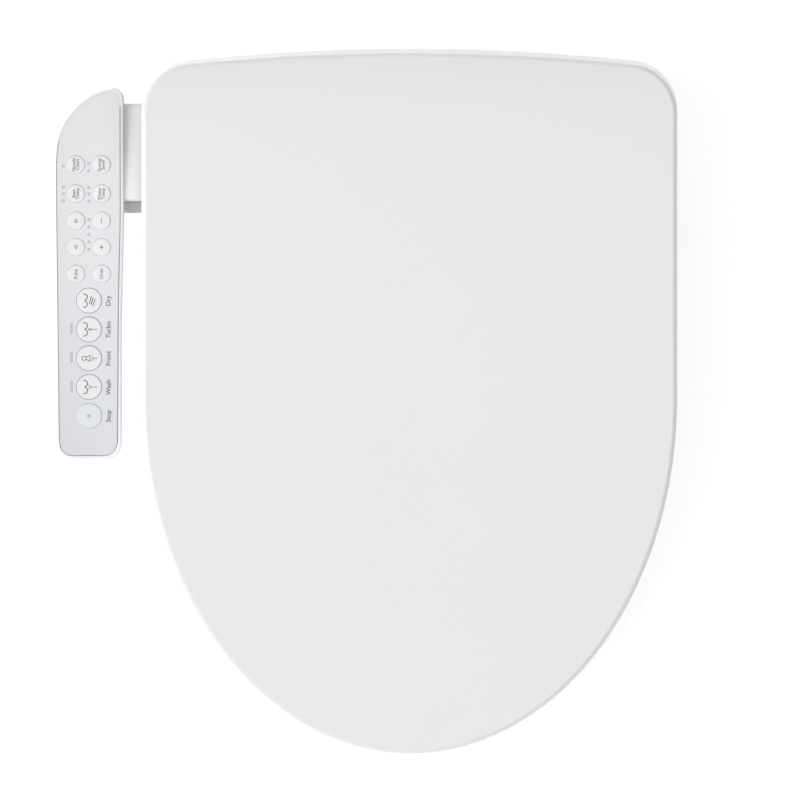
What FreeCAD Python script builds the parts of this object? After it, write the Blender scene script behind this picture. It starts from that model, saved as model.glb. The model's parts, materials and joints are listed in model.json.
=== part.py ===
import FreeCAD, Part
import math
import os

from FreeCAD import Placement, Rotation, Vector

# Electric bidet seat for an elongated bowl.
# Millimetres. +X is to the right seen from above with the rear up, +Y is to the rear, +Z is up.
# The origin is the midpoint between the two mounting bolts, on the rim of the bowl.

doc = FreeCAD.newDocument("BidetSeat")
sheet = doc.addObject("Spreadsheet::Sheet", "Dims")

CELLS = [
    # overall form of the lid
    ("lid_half_width", 198.1),
    ("lid_side_inset", 3.7),
    ("lid_front_depth", 263.0),
    ("lid_front_start", -210.0),
    ("lid_rear_apex", 48.0),
    ("lid_rear_bulge", 12.36),
    ("lid_corner_radius", 36.0),
    ("lid_wall", 3.0),
    ("lid_edge_fillet", 3.5),
    ("lid_axis_y", 20.0),
    ("lid_axis_z", 112.0),
    ("hinge_pin_radius", 5.0),
    ("hinge_clearance", 0.05),
    # body of the unit
    ("body_half_width", 191.5),
    ("body_rear", 46.0),
    ("hump_radius", 22.0),
    ("hump_half_width", 146.0),
    ("shoulder_top", 73.0),
    ("split_height", 38.0),
    ("shell_wall", 3.0),
    ("foot_height", 1.5),
    # seat
    ("seat_axis_y", -64.0),
    ("seat_axis_z", 60.0),
    ("seat_knuckle_radius", 16.0),
    ("seat_half_width", 191.5),
    ("seat_bottom", 13.0),
    ("opening_half_width", 106.0),
    ("opening_rear", -118.0),
    ("opening_front", -402.0),
    # mounting
    ("bolt_spacing", 140.0),
    ("bolt_hole_radius", 4.25),
    ("bolt_slot_length", 24.0),
    ("plate_thickness", 5.0),
    ("plate_width", 184.0),
    ("plate_depth", 80.0),
    # nozzle
    ("nozzle_tilt", 13.0),
    ("nozzle_radius", 6.0),
    ("nozzle_length", 112.0),
    ("nozzle_travel", 75.0),
    ("pinion_pitch_radius", 7.0),
    ("pinion_teeth", 14.0),
    # dryer
    ("impeller_radius", 24.0),
    ("impeller_blades", 24.0),
    ("fan_case_radius", 30.0),
    # water
    ("tube_radius", 3.0),
    ("inlet_radius", 10.3),
    ("inlet_length", 12.0),
    # control panel
    ("panel_tilt", 3.34),
    ("panel_depth", 26.0),
    ("upper_depth", 10.0),
    ("overlay_thickness", 0.8),
    ("small_button_radius", 6.6),
    ("large_button_radius", 9.2),
    ("button_gap", 0.35),
    ("button_travel", 0.8),
    ("button_proud", 1.2),
    ("led_radius", 1.2),
    ("screw_head_radius", 3.4),
    ("screw_shank_radius", 1.6),
]

V = {}
for row, (name, value) in enumerate(CELLS, start=1):
    sheet.set("A%d" % row, name)
    sheet.set("B%d" % row, repr(float(value)))
    sheet.setAlias("B%d" % row, name)
doc.recompute()
for name, _ in CELLS:
    V[name] = float(getattr(sheet, name))

PARTS = {}


# ---------------------------------------------------------------- helpers


def vec(x, y, z):
    return Vector(float(x), float(y), float(z))


def box(x0, x1, y0, y1, z0, z1):
    return Part.makeBox(x1 - x0, y1 - y0, z1 - z0, vec(x0, y0, z0))


def cyl(r, p0, p1):
    a, b = vec(*p0), vec(*p1)
    d = b.sub(a)
    return Part.makeCylinder(r, d.Length, a, d)


def cone(r0, r1, p0, p1):
    a, b = vec(*p0), vec(*p1)
    d = b.sub(a)
    return Part.makeCone(r0, r1, d.Length, a, d)


def poly_face(points):
    pts = [vec(*p) for p in points]
    return Part.Face(Part.makePolygon(pts + [pts[0]]))


def prism_x(yz, x0, x1):
    """A closed outline in the YZ plane, carried along X."""
    return poly_face([(x0, y, z) for y, z in yz]).extrude(vec(x1 - x0, 0, 0))


def prism_z(xy, z0, z1):
    return poly_face([(x, y, z0) for x, y in xy]).extrude(vec(0, 0, z1 - z0))


def prism_y(xz, y0, y1):
    return poly_face([(x, y0, z) for x, z in xz]).extrude(vec(0, y1 - y0, 0))


def fuse(first, *rest):
    out = first
    for r in rest:
        out = out.fuse(r)
    return out.removeSplitter()


def cut(base, *tools):
    out = base
    for t in tools:
        out = out.cut(t)
    return out


def clean(shape):
    """The one solid of a result, or its largest where a cut leaves slivers."""
    solids = sorted(shape.Solids, key=lambda q: -q.Volume)
    if not solids:
        raise RuntimeError("no solid left")
    if len(solids) > 1 and solids[1].Volume > 1.0:
        raise RuntimeError("split into %s" % [round(q.Volume, 1) for q in solids])
    return solids[0]


def try_fillet(shape, radius, pick):
    """Rounds the picked edges, at a smaller radius where the full one will not close."""
    for r in (radius, radius * 0.7, radius * 0.45):
        edges = [e for e in shape.Edges if pick(e)]
        if not edges:
            return shape
        try:
            out = shape.makeFillet(r, edges)
            if out.isValid() and out.Volume > 0:
                return out
        except Exception:
            pass
    print("  fillet left out, radius", radius)
    return shape


def feature(label, shape, placement=None):
    """A sub-part whose shape is worked out with Part's own functions."""
    obj = doc.addObject("Part::Feature", label)
    obj.Label = label
    obj.Shape = shape
    if placement is not None:
        obj.Placement = placement
    PARTS[label] = obj
    return obj


def plane_of(body, role):
    for f in body.Origin.OriginFeatures:
        if f.Role == role:
            return f
    raise RuntimeError(role)


def new_body(label, placement=None):
    body = doc.addObject("PartDesign::Body", label)
    body.Label = label
    if placement is not None:
        body.Placement = placement
    PARTS[label] = body
    return body


def new_sketch(body, name, role="XY_Plane", offset=None):
    sk = body.newObject("Sketcher::SketchObject", name)
    sk.AttachmentSupport = [(plane_of(body, role), "")]
    sk.MapMode = "FlatFace"
    if offset is not None:
        sk.AttachmentOffset = offset
    return sk


def lift(z):
    return Placement(vec(0, 0, z), Rotation())


def sketch_circle(sk, x, y, r, expr=None):
    g = sk.addGeometry(Part.Circle(vec(x, y, 0), vec(0, 0, 1), r), False)
    import Sketcher

    c = sk.addConstraint(Sketcher.Constraint("Radius", g, r))
    sk.addConstraint(Sketcher.Constraint("DistanceX", -1, 1, g, 3, x)) if abs(x) > 1e-9 else None
    sk.addConstraint(Sketcher.Constraint("DistanceY", -1, 1, g, 3, y)) if abs(y) > 1e-9 else None
    if expr:
        sk.setExpression("Constraints[%d]" % c, expr)
    return g


def sketch_rect(sk, x0, x1, y0, y1):
    pts = [(x0, y0), (x1, y0), (x1, y1), (x0, y1)]
    import Sketcher

    ids = []
    for i in range(4):
        a, b = pts[i], pts[(i + 1) % 4]
        ids.append(
            sk.addGeometry(Part.LineSegment(vec(a[0], a[1], 0), vec(b[0], b[1], 0)), False)
        )
    for i in range(4):
        sk.addConstraint(Sketcher.Constraint("Coincident", ids[i], 2, ids[(i + 1) % 4], 1))
    return ids


def sketch_poly(sk, pts):
    import Sketcher

    ids = []
    n = len(pts)
    for i in range(n):
        a, b = pts[i], pts[(i + 1) % n]
        ids.append(
            sk.addGeometry(Part.LineSegment(vec(a[0], a[1], 0), vec(b[0], b[1], 0)), False)
        )
    for i in range(n):
        sk.addConstraint(Sketcher.Constraint("Coincident", ids[i], 2, ids[(i + 1) % n], 1))
    return ids


def pad(body, sk, length, expr=None, reverse=False):
    p = body.newObject("PartDesign::Pad", sk.Name + "_pad")
    p.Profile = sk
    p.Length = length
    p.Reversed = reverse
    if expr:
        p.setExpression("Length", expr)
    return p


def pocket(body, sk, length, reverse=False):
    p = body.newObject("PartDesign::Pocket", sk.Name + "_pocket")
    p.Profile = sk
    p.Length = length
    p.Reversed = reverse
    return p


def revolve(body, sk):
    """A sketch on the XZ plane turned once about the body's own Z axis."""
    p = body.newObject("PartDesign::Revolution", sk.Name + "_turn")
    p.Profile = sk
    p.ReferenceAxis = (sk, ["V_Axis"])
    p.Angle = 360.0
    return p


# ---------------------------------------------------------------- plan outlines

REAR_R = 1588.0


def outline(z, half, apex, corner, front_start, front_depth):
    """The plan outline: a shallow rear arc, round rear corners, straight sides, half an ellipse in front."""
    cx = half - corner
    cy = apex - REAR_R + math.sqrt((REAR_R - corner) ** 2 - cx**2)
    th = math.atan2(cx, cy - (apex - REAR_R))
    mid = (th + math.pi / 2) / 2

    def corner_at(a, sign):
        return vec(sign * (cx + corner * math.sin(a)), cy + corner * math.cos(a), z)

    edges = [
        Part.Arc(corner_at(th, -1), vec(0, apex, z), corner_at(th, 1)).toShape(),
        Part.Arc(corner_at(th, 1), corner_at(mid, 1), corner_at(math.pi / 2, 1)).toShape(),
        Part.makeLine(corner_at(math.pi / 2, 1), vec(half, front_start, z)),
    ]
    if front_depth > half:
        el = Part.Ellipse(vec(0, front_start - front_depth, z), vec(half, front_start, z), vec(0, front_start, z))
    else:
        el = Part.Ellipse(vec(half, front_start, z), vec(0, front_start - front_depth, z), vec(0, front_start, z))
    a0 = el.parameter(vec(half, front_start, z))
    a1 = el.parameter(vec(-half, front_start, z))
    lo = el.toShape().common(
        Part.makeBox(4 * half, front_depth * 2, 2, vec(-2 * half, front_start - 2 * front_depth, z - 1))
    )
    edges += lo.Edges
    edges += [
        Part.makeLine(vec(-half, front_start, z), corner_at(math.pi / 2, -1)),
        Part.Arc(corner_at(math.pi / 2, -1), corner_at(mid, -1), corner_at(th, -1)).toShape(),
    ]
    return Part.Wire(Part.__sortEdges__(edges))


def spline_yz(points, x):
    c = Part.BSplineCurve()
    c.interpolate([vec(x, y, z) for y, z in points])
    return c.toShape()


def below_profile(points, x, drop, floor=-12.0):
    """A closed wire in a plane of constant X: the profile on top, straight sides and floor."""
    pts = [(y, z - drop) for y, z in points]
    top = spline_yz(pts, x)
    (y0, z0), (y1, z1) = pts[0], pts[-1]
    return Part.Wire(
        [
            top,
            Part.makeLine(vec(x, y1, z1), vec(x, y1, floor)),
            Part.makeLine(vec(x, y1, floor), vec(x, y0, floor)),
            Part.makeLine(vec(x, y0, floor), vec(x, y0, z0)),
        ]
    )


def crowned(points, half, crown, drop):
    wires = [
        below_profile(points, -half, drop + crown),
        below_profile(points, 0.0, drop),
        below_profile(points, half, drop + crown),
    ]
    return Part.makeLoft(wires, True, False)


# ---------------------------------------------------------------- lid

LID_TOP = [
    (70, 138.2), (48, 141.4), (20, 145.5), (-20, 146.0), (-60, 143.0), (-120, 131.5),
    (-200, 114.0), (-300, 93.0), (-400, 74.5), (-500, 58.0),
]
LID_SKIRT = [
    (70, 92.0), (30, 92.0), (0, 91.5), (-30, 84.0), (-62, 74.6), (-120, 64.0), (-200, 55.0),
    (-300, 47.0), (-400, 41.0), (-500, 37.0),
]


def lid_solid(inset, drop):
    h, fd, fs = V["lid_half_width"] - inset, V["lid_front_depth"] - inset, V["lid_front_start"]
    r, apex = V["lid_corner_radius"] - inset, V["lid_rear_apex"] - inset
    low = outline(-15.0, h + 1.75, apex + 10.3, r, fs, fd + 3.7)
    high = outline(175.0, h - 3.2, apex - 8.0, r, fs, fd - 9.6)
    body = Part.makeLoft([low, high], True, True)
    return body.common(crowned(LID_TOP, 230.0, 4.6, drop))


lid_outer = lid_solid(0.0, 0.0)
top_face = max(lid_outer.Faces, key=lambda f: f.Area if f.CenterOfMass.z > 60 else 0)
top_edges = {e.hashCode() for e in top_face.Edges}
lid_outer = try_fillet(lid_outer, V["lid_edge_fillet"], lambda e: e.hashCode() in top_edges)
skirt_curve = below_profile(LID_SKIRT, -230.0, 0.0)
lid_outer = lid_outer.cut(Part.Face(skirt_curve).extrude(vec(460, 0, 0)))
lid_inner = lid_solid(V["lid_wall"], V["lid_wall"])
lid = lid_outer.cut(lid_inner)

AY, AZ = V["lid_axis_y"], V["lid_axis_z"]
ears = []
for s in (-1, 1):
    x0, x1 = sorted((s * 149.0, s * 155.0))
    ear = box(x0, x1, AY - 11, AY + 11, AZ, AZ + 31.5).fuse(cyl(11.0, (x0, AY, AZ), (x1, AY, AZ)))
    ear = ear.fuse(box(x0, x1, AY - 26, AY + 18, AZ + 24, AZ + 31.5))
    ears.append(ear.cut(cyl(V["hinge_pin_radius"] + V["hinge_clearance"], (x0 - 1, AY, AZ), (x1 + 1, AY, AZ))))
BUMPERS = [(-118.0, -190.0), (118.0, -190.0), (-70.0, -398.0), (70.0, -398.0)]
SEAT_TOP = [
    (-30, 74.0), (-64, 74.6), (-90, 71.0), (-120, 66.5), (-200, 58.0), (-300, 51.0), (-400, 45.0), (-500, 40.0),
]


def height_on(points, y):
    pts = sorted(points)
    for (ya, za), (yb, zb) in zip(pts, pts[1:]):
        if ya <= y <= yb:
            return za + (zb - za) * (y - ya) / (yb - ya)
    raise RuntimeError("off the profile")


posts, caps = [], []
for x, y in BUMPERS:
    zs = height_on(SEAT_TOP, y) + 0.6
    post = cyl(5.0, (x, y, zs + 5.0), (x, y, 140.0)).common(lid_outer)
    posts.append(post)
    caps.append(
        cyl(8.0, (x, y, zs), (x, y, zs + 8.5)).cut(cyl(5.0, (x, y, zs + 5.0), (x, y, zs + 9.0)))
    )
lid = fuse(lid, *([e.common(lid_outer) for e in ears] + posts))
feature("lid_shell", clean(lid))
feature("lid_bumpers", Part.makeCompound(caps))

# ---------------------------------------------------------------- seat

SY, SZ = V["seat_axis_y"], V["seat_axis_z"]


def egg(z, grow):
    """The opening of the seat: a blunt half ellipse behind, a long one in front."""
    a = V["opening_half_width"] + grow
    yc = -225.0
    rear, front = V["opening_rear"] + grow, V["opening_front"] - grow
    pts = []
    for i in range(48):
        t = 2 * math.pi * i / 48
        c, s = math.cos(t), math.sin(t)
        ry = (rear - yc) if s > 0 else (yc - front)
        n = 2.5 if s > 0 else 2.15
        pts.append(
            vec(
                a * math.copysign(abs(c) ** (2 / n), c),
                yc + ry * math.copysign(abs(s) ** (2 / n), s),
                z,
            )
        )
    c = Part.BSplineCurve()
    c.interpolate(pts, PeriodicFlag=True)
    return Part.Wire([c.toShape()])


def seat_solid(inset, drop, zlow):
    h = V["seat_half_width"] - inset
    low = outline(-20.0, h + 1.0, 40.0, 34.0, -210.0, 258.0 - inset)
    high = outline(120.0, h - 4.0, 40.0, 34.0, -210.0, 251.0 - inset)
    body = Part.makeLoft([low, high], True, True)
    body = body.common(crowned(SEAT_TOP, 220.0, 5.0, drop))
    body = body.common(box(-230, 230, -500, SY, zlow, 120))
    # the sides end in front of the shoulders, only the middle reaches the hinge
    for s in (-1, 1):
        x0, x1 = sorted((s * (148.0 - inset), s * 260.0))
        body = body.cut(box(x0, x1, -88.5 - inset, 0, zlow - 5, 140))
    return body


def egg_solid(grow, z0, z1):
    return Part.Face(egg(z0, grow)).extrude(vec(0, 0, z1 - z0))


seat_out = seat_solid(0.0, 0.0, V["seat_bottom"])
seat_out = seat_out.cut(egg_solid(0.0, -20, 140))
pocket_box = box(-156, 156, -135, 0, -5, 44.0)
seat_out = seat_out.cut(pocket_box)


def seat_rim(e):
    b = e.BoundBox
    low = min(v.Point.z for v in e.Vertexes)
    on_pocket = abs(b.YMin + 135.0) < 0.02 or abs(b.ZMax - 44.0) < 0.02
    return low > 40.5 and b.YMax < -88.0 and not on_pocket and not (b.XLength < 1e-3 and b.YLength < 1e-3)


seat_out = try_fillet(seat_out, 8.0, seat_rim)
knuckle = cyl(V["seat_knuckle_radius"], (-147.6, SY, SZ), (147.6, SY, SZ))
seat_out = seat_out.fuse(knuckle)
seat_in = seat_solid(3.0, 3.0, 0.0).cut(egg_solid(3.0, -20, 140))
seat_in = seat_in.fuse(cyl(13.0, (-126.0, SY, SZ), (126.0, SY, SZ)))
seat_in = seat_in.cut(box(-200, -126, -90, -30, 0, 120)).cut(box(126, 200, -90, -30, 0, 120))
seat_top = seat_out.cut(seat_in)
for s in (-1, 1):
    seat_top = seat_top.cut(
        cyl(V["hinge_pin_radius"] + V["hinge_clearance"], (s * 132.0, SY, SZ), (s * 149.0, SY, SZ))
    )
seat_top_obj = max(seat_top.Solids, key=lambda q: q.Volume)
under = box(-230, 230, -500, -84, 13.0, 16.0).fuse(box(-159, 159, -138, -84, 13.0, 47.0))
seat_bottom = seat_in.common(under).cut(box(-156, 156, -135, 0, -5, 44.0))
heater = seat_in.cut(seat_in.translated(vec(0, 0, -0.8))).common(box(-230, 230, -450, -140, 40, 120))
heater = heater.cut(egg_solid(9.0, -20, 140))
hr = outline(-20.0, V["seat_half_width"] - 14.0, 30.0, 34.0, -210.0, 258.0 - 14.0)
heater = heater.common(Part.Face(hr).extrude(vec(0, 0, 160)))
for nm, sh in (("seat_top_shell", seat_top), ("seat_bottom_shell", seat_bottom), ("seat_heater", heater)):
    print(nm, [round(q.Volume, 1) for q in sh.Solids][:6], sh.isValid())
feature("seat_top_shell", seat_top_obj)
feature("seat_bottom_shell", clean(seat_bottom))
feature("seat_heater", clean(heater))
pads = [
    cyl(9.0, (x, y, 0.0), (x, y, 12.0)).fuse(cyl(4.0, (x, y, 12.0), (x, y, 13.0)))
    for x, y in ((-150.0, -165.0), (150.0, -165.0), (-95.0, -412.0), (95.0, -412.0))
]
feature("seat_bumpers", Part.makeCompound([p.removeSplitter() for p in pads]))

# ---------------------------------------------------------------- unit: base tray and top cover

BH, BR = V["body_half_width"], V["body_rear"]
W = V["shell_wall"]
SPLIT = V["split_height"]
FRONT_MID, FRONT_SIDE = -104.0, -84.0


def body_plan(inset, z0, z1):
    full = Part.Face(outline(z0, BH - inset, BR - inset, 34.0 - inset, -210.0, 250.0)).extrude(vec(0, 0, z1 - z0))
    full = full.common(box(-260, 260, FRONT_MID + inset, 90, z0, z1))
    for s in (-1, 1):
        x0, x1 = sorted((s * (150.0 - inset), s * 260.0))
        full = full.cut(box(x0, x1, -300, FRONT_SIDE + inset, z0 - 1, z1 + 1))
    return full


def polar(r, deg):
    a = math.radians(deg)
    return (AY + r * math.cos(a), AZ + r * math.sin(a))


HUMP, COVE = V["hump_radius"], 40.5
LIP = math.radians(-152.0)


def lip(r, g):
    """Point at radius r on the straight lip that leads from the hump down into the cove."""
    t = math.sqrt(r * r - g * g)
    return (AY + g * math.sin(LIP) + t * math.cos(LIP), AZ - g * math.cos(LIP) + t * math.sin(LIP))


def hump_wire(x, g):
    """Side profile of the middle of the cover, moved in by g all round."""
    hr, cr = HUMP - g, COVE + g
    p = [
        (FRONT_MID + g, SPLIT - 6.0),
        (FRONT_MID + g, 40.0 - g),
        (FRONT_MID + 3.0, 43.0 - g) if g == 0 else (FRONT_MID + g + 1.0, 43.0 - g),
        (-47.5 + g, 43.0 - g),
        (-46.5 + g, 60.0),
        (-24.0 + g * 1.05, 118.0),
        (-12.0 + g * 0.7, 130.0 - g * 0.7),
        (4.0, 134.0 - g),
        (AY, AZ + hr),
    ]
    e = [Part.makeLine(vec(x, *a), vec(x, *b)) for a, b in zip(p, p[1:])]
    mid, end = polar(hr, -25), lip(hr, g)
    e.append(Part.Arc(vec(x, *p[-1]), vec(x, *mid), vec(x, *end)).toShape())
    a0, a1, am = lip(cr, g), polar(cr, -54), polar(cr, -100)
    e.append(Part.makeLine(vec(x, *end), vec(x, *a0)))
    e.append(Part.Arc(vec(x, *a0), vec(x, *am), vec(x, *a1)).toShape())
    rear = [a1, (80.0, a1[1]), (80.0, SPLIT - 6.0), p[0]]
    e += [Part.makeLine(vec(x, *a), vec(x, *b)) for a, b in zip(rear, rear[1:])]
    return Part.Wire(e)


def cover_solid(g, z0):
    hw = 147.0 - g
    mid = Part.Face(hump_wire(-hw, g)).extrude(vec(2 * hw, 0, 0))
    sh = V["shoulder_top"] - g
    side = None
    for s in (-1, 1):
        x0, x1 = sorted((s * (150.0 if g == 0 else 140.0), s * 260.0))
        y0 = FRONT_SIDE + g
        pr = [(y0, 20.0), (y0, sh - 9.0), (y0 + 2.6, sh - 2.6), (y0 + 9.0, sh), (90.0, sh), (90.0, 20.0)]
        blk = prism_x(pr, x0, x1)
        if g:
            # the hollow of each shoulder joins the middle only behind the hinge recess
            blk = blk.cut(box(-153.0, 153.0, -120.0, -47.5 + g, 0, 120))
        side = blk if side is None else side.fuse(blk)
    strip = box(-150.0, 150.0, -47.5 if g == 0 else -44.5, 90.0, 20.0, 70.0 - g)
    strip = strip.common(
        Part.Face(Part.makePolygon([vec(-160, *q) for q in [(-47.5 + g, 20), (-47.5 + g, 60), (-40.0 + g, sh), (90, sh), (90, 20), (-47.5 + g, 20)]])).extrude(vec(320, 0, 0))
    )
    allb = mid.fuse(side).fuse(strip)
    # room for the swing of the lid's rear wall and for its two ears
    return allb.common(body_plan(g, z0, 160.0))


cover_out = cover_solid(0.0, SPLIT)
cover_in = cover_solid(W, SPLIT - 1.0)


def barrel(g):
    """Radius of the hinge hump: it narrows to its ends, as the lid's bowed rear wall sweeps round it."""
    rows = [(x, HUMP - g - 0.6 - 3.15e-4 * x * x * 1.02) for x in range(-156, 157, 12)]
    pts = [vec(x, AY, AZ + r) for x, r in rows]
    pts = [vec(rows[0][0], AY, AZ)] + pts + [vec(rows[-1][0], AY, AZ)]
    f = Part.Face(Part.makePolygon(pts + [pts[0]]))
    return f.revolve(vec(0, AY, AZ), vec(1, 0, 0), 360)


def hump_trim(g):
    corner = (AY - g, AZ + 0.601 * g)
    zone = prism_x([corner, lip(45.0, g), (AY - 30.0, 50.0), (90.0, 50.0), (90.0, 150.0), (AY - g, 150.0)], -152.0, 152.0)
    return cyl(31.0, (-152, AY, AZ), (152, AY, AZ)).common(zone).cut(barrel(g))


cover_out = cover_out.cut(hump_trim(0.0))
cover_in = cover_in.cut(hump_trim(W))
cover = cover_out.cut(cover_in)
# hinge openings in the two ends of the hump and the inner walls of the shoulders
PIN = V["hinge_pin_radius"]
for s in (-1, 1):
    cover = cover.cut(cyl(PIN, (s * 139.0, AY, AZ), (s * 148.0, AY, AZ)))
    cover = cover.cut(cyl(PIN, (s * 149.0, SY, SZ), (s * 154.0, SY, SZ)))
# blind bosses under the shelf that take the case screws
SCREWS = [(-128.0, -92.0), (128.0, -92.0), (-170.0, 22.0), (170.0, 22.0), (-118.0, 32.0), (118.0, 32.0)]
bosses = []
for x, y in SCREWS:
    top = 40.5 if y < -50 else (70.5 if abs(x) > 150 else 71.2)
    b = cyl(4.5, (x, y, 24.0), (x, y, top)).cut(cyl(V["screw_shank_radius"], (x, y, 20.0), (x, y, 36.0)))
    bosses.append(b)
cover = fuse(cover, *bosses)
# nozzle port, and the outlet of the dryer, both through the front wall
NT = math.radians(V["nozzle_tilt"])
P0 = (0.0, -99.0, 20.0)


def npt(u, n, x=0.0):
    """A point of the nozzle's own frame: u back along its axis, n square to it and up."""
    return (x, P0[1] + u * math.cos(NT) - n * math.sin(NT), P0[2] + u * math.sin(NT) + n * math.cos(NT))


def nbox(u0, u1, n0, n1, x0, x1):
    pts = [npt(u0, n0, x0), npt(u1, n0, x0), npt(u1, n1, x0), npt(u0, n1, x0)]
    return poly_face(pts).extrude(vec(x1 - x0, 0, 0))


port = nbox(-14.0, 1.5, -8.4, 8.4, -8.6, 12.4)
outlet = box(44.0, 86.0, -112.0, -98.0, 15.0, 35.0)

tray_out = body_plan(0.0, V["foot_height"], SPLIT)
tray_up = body_plan(W, 11.0, SPLIT + 1.0)
tray_low = body_plan(W, 0.0, 8.0)
hood = box(-105, 105, -51, 44, 8.0, 16.0)
tunnel = box(-102, 102, -48, 60, 0.0, 13.0)
base = tray_out.cut(tray_up).cut(tray_low).fuse(hood.common(tray_out)).cut(tunnel)
for s in (-1, 1):
    # hooked rails under the mount plate's edges guide the quick-release slide
    x0, x1 = sorted((s * 96.6, s * 103.0))
    base = base.fuse(box(x0, x1, -48, 42.5, 1.5, 3.2)).fuse(box(min(s * 102.0, s * 105.0), max(s * 102.0, s * 105.0), -51, 43.0, 1.5, 9.0))
base = base.cut(port).cut(outlet)
for x, y in SCREWS:
    z0 = 5.0
    post = cyl(6.0, (x, y, z0), (x, y, 24.0))
    base = base.fuse(post).cut(cyl(V["screw_head_radius"] + 0.2, (x, y, 0.0), (x, y, 18.0))).cut(
        cyl(V["screw_shank_radius"] + 0.2, (x, y, 0.0), (x, y, 30.0))
    )
# the water inlet points down out of a recess at the right; the cord leaves through the rear wall at the left
INX, INY = 166.0, -8.0
base = base.fuse(cyl(21.0, (INX, INY, 8.0), (INX, INY, 27.0)).common(tray_out))
base = base.cut(cyl(18.0, (INX, INY, 0.0), (INX, INY, 24.0))).cut(cyl(7.0, (INX, INY, 20.0), (INX, INY, 30.0)))
GX, GZ = -142.0, 23.0
base = base.cut(cyl(6.0, (GX, 30.0, GZ), (GX, 60.0, GZ)))
RBY, RBZ = -40.0, 22.0
base = base.cut(box(180.0, 200.0, RBY - 11.3, RBY + 11.3, RBZ - 6.3, RBZ + 6.3))
base = base.fuse(box(184.0, 189.0, RBY - 14.5, RBY + 14.5, RBZ - 10.0, RBZ + 9.5).cut(
    box(183.0, 190.0, RBY - 11.3, RBY + 11.3, RBZ - 6.3, RBZ + 6.3)
))
# edge of the cover's wall for the arm that carries the control panel
arm_window = box(-193.0, -187.0, -50.0, -6.0, 42.0, 60.0)
cover = cover.cut(arm_window).cut(port)
for nm, sh in (("base_tray", base), ("top_cover", cover)):
    print(nm, [round(q.Volume, 1) for q in sh.Solids][:6], sh.isValid())
feature("base_tray", clean(base))
feature("top_cover", clean(cover))

# ---------------------------------------------------------------- control panel

PT = V["panel_tilt"]
PANEL = Placement(vec(0, 20, 78), Rotation(vec(1, 0, 0), PT))
CT = math.cos(math.radians(PT))


def ly(y):
    """Panel frame from a plan position."""
    return (y - 20.0) / CT


def pl(points):
    return [(x, ly(y)) for x, y in points]


CASE_LEFT = pl([
    (-217.8, 19.7), (-223.6, 18.6), (-232.5, 15.7), (-239.8, 11.3), (-246.4, 5.4), (-252.3, -1.6),
    (-256.7, -9.0), (-259.3, -16.3), (-260.7, -25.1), (-261.5, -37.6),
])
CASE_REST = pl([(-260.8, -242.7), (-249.2, -254.6), (-224.6, -254.6), (-212.3, -244.0)])
CASE_RIGHT = pl([(-212.3, -244.0), (-212.2, -210.4), (-211.9, -136.9), (-210.9, -98.0), (-210.4, -74.4)])
CASE_TOP = pl([(-210.4, 9.0), (-212.0, 16.2), (-217.8, 19.7)])

FILM_LEFT = pl([
    (-218.4, 17.4), (-223.6, 16.6), (-231.9, 13.9), (-239.1, 9.6), (-245.6, 3.9), (-251.2, -3.1),
    (-255.4, -10.1), (-258.0, -17.0), (-259.5, -25.1), (-260.3, -37.6),
])
FILM_REST = pl([(-258.6, -240.5), (-249.0, -251.6), (-226.4, -251.6), (-215.3, -241.5)])
FILM_RIGHT = pl([(-215.3, -241.5), (-215.0, -210.4), (-214.4, -136.9), (-213.5, -98.0), (-213.0, -74.4)])
FILM_TOP = pl([(-213.0, 8.0), (-214.2, 14.6), (-218.4, 17.4)])


def panel_wire(z, left, rest, right, top):
    def p3(q):
        return vec(q[0], q[1], z)

    def spl(q, t0=None, t1=None):
        c = Part.BSplineCurve()
        if t0 is not None:
            c.interpolate([p3(k) for k in q], InitialTangent=t0, FinalTangent=t1)
        else:
            c.interpolate([p3(k) for k in q])
        return c.toShape()

    def corner(a, b, ca):
        m = vec(ca[0], ca[1], z)
        pa, pb = p3(a), p3(b)
        mid = pa.add(pb).multiply(0.5)
        mid = mid.add(m.sub(mid).multiply(0.42))
        return Part.Arc(pa, mid, pb).toShape()

    e = [spl(left), Part.makeLine(p3(left[-1]), p3(rest[0]))]
    e.append(corner(rest[0], rest[1], (rest[0][0], rest[1][1])))
    e.append(Part.makeLine(p3(rest[1]), p3(rest[2])))
    e.append(corner(rest[2], rest[3], (rest[3][0], rest[2][1])))
    e.append(spl(right))
    e.append(Part.makeLine(p3(right[-1]), p3(top[0])))
    e.append(Part.Arc(p3(top[0]), p3(top[1]), p3(top[2])).toShape())
    return Part.Wire(Part.__sortEdges__(e))


def grown(wire, d, count=150):
    """The wire as a fine polygon moved out by d, or in where d is negative."""
    pts = wire.discretize(Number=count + 1)[:-1]
    n = len(pts)
    area = sum(pts[i].x * pts[(i + 1) % n].y - pts[(i + 1) % n].x * pts[i].y for i in range(n))
    sign = 1.0 if area > 0 else -1.0
    out = []
    for i in range(n):
        t = pts[(i + 1) % n].sub(pts[i - 1])
        t.normalize()
        out.append(vec(pts[i].x + sign * t.y * d, pts[i].y - sign * t.x * d, pts[i].z))
    return Part.makePolygon(out + [out[0]])


def case_prism(z0, z1, inset=0.0):
    w = panel_wire(z0, CASE_LEFT, CASE_REST, CASE_RIGHT, CASE_TOP)
    if inset:
        w = grown(w, -inset)
    return Part.Face(w).extrude(vec(0, 0, z1 - z0))


def film_prism(z0, z1, grow=0.0):
    w = panel_wire(z0, FILM_LEFT, FILM_REST, FILM_RIGHT, FILM_TOP)
    if grow:
        w = grown(w, grow)
    return Part.Face(w).extrude(vec(0, 0, z1 - z0))


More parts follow.
